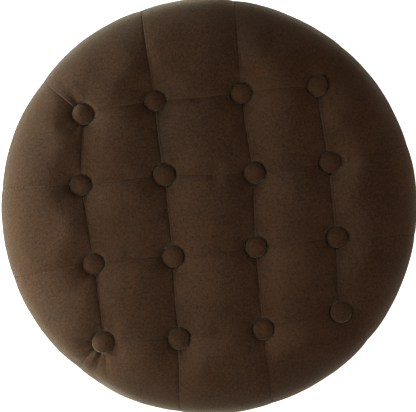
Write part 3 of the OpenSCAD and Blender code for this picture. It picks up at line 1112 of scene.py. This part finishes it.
def make_bay_floor():
    """A board wrapped in lining cloth, with a soft edge."""
    low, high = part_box("bay_floor")
    radius, edge = high.x, 1.8 * MM
    outline = (
        [(r, high.z) for r in np.linspace(0, radius - edge, 44)]
        + arc_points((radius - edge, high.z - edge), edge, 90, 0, 6)[1:]
        + [(radius, low.z + 0.4 * MM), (radius - 0.5 * MM, low.z), (0, low.z)]
    )
    points = turned(outline, even_turn(192))
    cloth = uneven(points, 40 * MM, 12) * 0.3 + uneven(points, 14 * MM, 13) * 0.12
    points[..., 2] += cloth * MM * (points[..., 2] > high.z - 0.5 * MM)
    outward(turned_piece("bay_floor_board", points, "lining", "base", "bay_floor"), poles=True)


def disc_mesh(radius, holes, spacing):
    """A flat disc with round holes: (points, faces that look down, distances from the edge, bearings)."""
    outline, edges = [], []
    for centre, size in [((0, 0), radius)] + holes:
        count = max(20, int(2 * math.pi * size / spacing))
        first = len(outline)
        outline += arc_points(centre, size, 0, 360, count)[:-1]
        edges += [(first + i, first + (i + 1) % count) for i in range(count)]

    def clear(x, y, margin):
        return all(math.hypot(x - c[0], y - c[1]) > size + margin for c, size in holes)

    inside = []
    margin = 0.5 * spacing
    reach = int(radius / spacing) + 1
    for i in range(-reach, reach + 1):
        for j in range(-reach, reach + 1):
            x, y = (i + 0.5 * (j % 2)) * spacing, j * spacing * 0.866
            if math.hypot(x, y) < radius - margin and clear(x, y, margin):
                inside.append((x, y))
    made = delaunay_2d_cdt([Vector(p) for p in outline + inside], edges, [], 1, 1e-6)
    points = np.array([(*p, 0) for p in made[0]])
    faces = [tuple(face)[::-1] for face in made[2] if clear(*points[face].mean(axis=0)[:2], 0)]
    return points, faces, radius - flat_radius(points), np.arctan2(points[:, 1], points[:, 0])


def round_sheet(cloth, thickness):
    """Gives a cloth its thickness."""
    solidify(cloth, thickness)


def make_dust_cover():
    """Thin dust cloth stapled under the drum, cut round the feet, and sagging a little between staples."""
    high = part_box("dust_cover")[1]
    feet = [(middle_of(f"foot_{i}"), 27.8 * MM) for i in range(1, 5)]
    points, faces, inwards, angle = disc_mesh(high.x, feet, 9 * MM)
    pulls = 0.5 * np.cos(angle * 24) * np.exp(-inwards / (16 * MM))
    sag = smoothstep(inwards / (60 * MM)) * (1.1 + 0.5 * uneven(points, 70 * MM, 21))
    sag += 0.25 * uneven(points, 22 * MM, 22) + 0.4 + pulls
    points[:, 2] = high.z - 0.1 * MM - np.clip(sag, 0.1, 2.6) * 0.5 * MM
    cloth = mesh_piece("dust_cloth", points, faces, "cambric", "base", "dust_cover")
    round_sheet(cloth, 0.35 * MM)


def make_lid_lining():
    """Lining cloth under the lid board, stapled round its edge."""
    low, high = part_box("lid_lining")
    points, faces, inwards, angle = disc_mesh(high.x, [], 8 * MM)
    pulls = 0.5 * (1 + np.cos((angle - math.radians(6)) * 30)) * np.exp(-inwards / (9 * MM))
    creases = 0.25 * uneven(points, 34 * MM, 31) + 0.15 * uneven(points, 13 * MM, 32)
    points[:, 2] = low.z + (0.12 + 0.2 * pulls + 0.12 * np.abs(creases)) * MM
    cloth = mesh_piece("lid_lining_cloth", points, faces, "lining", "lid", "lid_lining")
    round_sheet(cloth, 0.4 * MM)


# ---------------- feet

FOOT_STEPS = 72


def foot_outline(height):
    """A turned foot in mm: collar, fillet, neck and bun, from its top down to its flat base at 0."""
    collar_r, neck_r, bun_r, base_r = 27, 21.5, 32, 21
    collar_z, bun_top = height - 6, height - 10
    bun = [
        (10 + (bun_r - 10) * math.cos(a), bun_top / 2 * (1 + math.sin(a) / math.sin(math.radians(60))))
        for a in np.radians(np.linspace(58, -60, 34))
    ]
    return (
        [(0, height), (collar_r - 1.5, height)]
        + arc_points((collar_r - 1, height - 1), 1, 90, 0, 3)
        + arc_points((collar_r - 2.2, collar_z + 2.2), 2.2, 0, -90, 6)
        + [(neck_r + 1.2, collar_z), (neck_r + 0.3, collar_z - 0.5), (neck_r, collar_z - 1.4)]
        + [(neck_r, bun_top + 1.2), (neck_r + 0.15, bun_top + 0.4)]
        + bun[1:]
        + arc_points((base_r - 1.2, 1.2), 1.2, -30, -90, 4)
        + [(0, 0)]
    )


def make_foot(index):
    node = f"foot_{index}"
    low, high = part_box(node)
    outline = np.array(foot_outline((high.z - low.z) / MM)) * MM + (0, low.z)
    points = turned(outline, even_turn(FOOT_STEPS)) + (*middle_of(node), 0)
    outward(turned_piece(f"turned_foot_{index}", points, "dark_wood", "base", node), poles=True)


# ---------------- make the pieces

LID_GRIDS = swollen(lid_surface())
make_lid_cover(LID_GRIDS)
make_lid_foam(LID_GRIDS)
make_lid_stitches(LID_GRIDS)
for button_row in range(ROWS):
    for button_column in range(COLUMNS):
        make_button(button_row, button_column)
make_lid_lining()
make_drum_cover()
make_bay_lining()
make_bay_trim()
make_bay_floor()
make_dust_cover()
for foot_index in range(1, 5):
    make_foot(foot_index)

SLOT_OF = {entry["node"]: entry["material_slot"] for entry in frame["record"]["subparts"]}
for node_name, node_object in frame["nodes"].items():
    for material_slot in node_object.material_slots:
        material_slot.material = MATERIALS[SLOT_OF[node_name]]


# ---------------- camera, light and floor

VIEW_TURN = math.radians(-6)
VIEW_WIDTH = 553.0 * MM
VIEW_DISTANCE = 2.2


def seen(right, up, height):
    """A place given as the viewer sees it from above: right, up the picture, and above the floor."""
    across = Vector((math.cos(VIEW_TURN), math.sin(VIEW_TURN), 0))
    upward = Vector((-math.sin(VIEW_TURN), math.cos(VIEW_TURN), 0))
    return across * right + upward * up + Vector((0, 0, height))


def add_camera():
    data = bpy.data.cameras.new("camera")
    data.sensor_width = 36
    data.lens = 36 * VIEW_DISTANCE / VIEW_WIDTH
    camera = placed("camera", data)
    camera.location = seen(-1 * MM, 0.5 * MM, CREST - ROLL_H + VIEW_DISTANCE)
    camera.rotation_euler = Euler((0, 0, VIEW_TURN))
    bpy.context.scene.camera = camera


def add_light(name, turn, rise, away, size, power, colour=(1, 1, 1)):
    """A soft panel aimed at the lid: turn is its bearing in the picture from the right, in degrees."""
    turn, rise = math.radians(turn), math.radians(rise)
    aim = Vector((0, 0, CREST - 30 * MM))
    flat = away * math.cos(rise)
    place = seen(flat * math.cos(turn), flat * math.sin(turn), aim.z + away * math.sin(rise))
    data = bpy.data.lights.new(name, "AREA")
    data.size = size
    data.energy = power
    data.color = colour
    light = placed(name, data)
    light.location = place
    light.rotation_euler = (aim - place).to_track_quat("-Z", "Y").to_euler()


def add_floor():
    half = 30.0
    corners = [(-half, -half, 0), (half, -half, 0), (half, half, 0), (-half, half, 0)]
    mesh = bpy.data.meshes.new("floor")
    mesh.from_pydata(corners, [], [(0, 1, 2, 3)])
    pale = Shader("pale_floor", Roughness=0.9, Base_Color=(0.85, 0.85, 0.85, 1),
                  Emission_Color=(1, 1, 1, 1), Emission_Strength=0.95)
    mesh.materials.append(pale.material)
    floor = placed("floor", mesh)
    # The floor's own glow would light the velvet from below
    floor.visible_diffuse = False
    floor.visible_glossy = False


def add_world():
    world = bpy.data.worlds.new("studio")
    bpy.context.scene.world = world
    world.use_nodes = True
    world.node_tree.nodes["Background"].inputs["Color"].default_value = (1, 1, 1, 1)
    world.node_tree.nodes["Background"].inputs["Strength"].default_value = 0.015


add_camera()
add_light("low_key", 170, 3, 1.6, 0.3, 42, (0.98, 1.0, 0.90))
add_light("low_left", 200, 3, 1.6, 0.3, 7.5, (0.98, 1.0, 0.90))
add_light("low_back", 135, 2.5, 1.6, 0.3, 10, (0.98, 1.0, 0.90))
add_light("back_key", 110, 5, 1.6, 0.4, 3.8, (0.98, 1.0, 0.90))
add_light("left_soft", 200, 22, 0.8, 0.4, 6.0, (0.98, 1.0, 0.90))
add_light("front_soft", 238, 50, 0.8, 0.3, 1.5, (1.0, 0.95, 0.86))
add_light("right_fill", 358, 50, 1.6, 0.8, 10.8, (1.0, 0.82, 0.70))
add_light("drum_right", 350, -9, 1.4, 0.2, 3.8, (1.0, 0.93, 0.85))
add_light("drum_front", 282, -9, 1.4, 0.2, 4.5, (1.0, 0.95, 0.88))
add_light("drum_back", 60, -9, 1.4, 0.2, 2.8, (1.0, 0.95, 0.88))
add_floor()
add_world()
bpy.context.scene.view_settings.view_transform = "Standard"
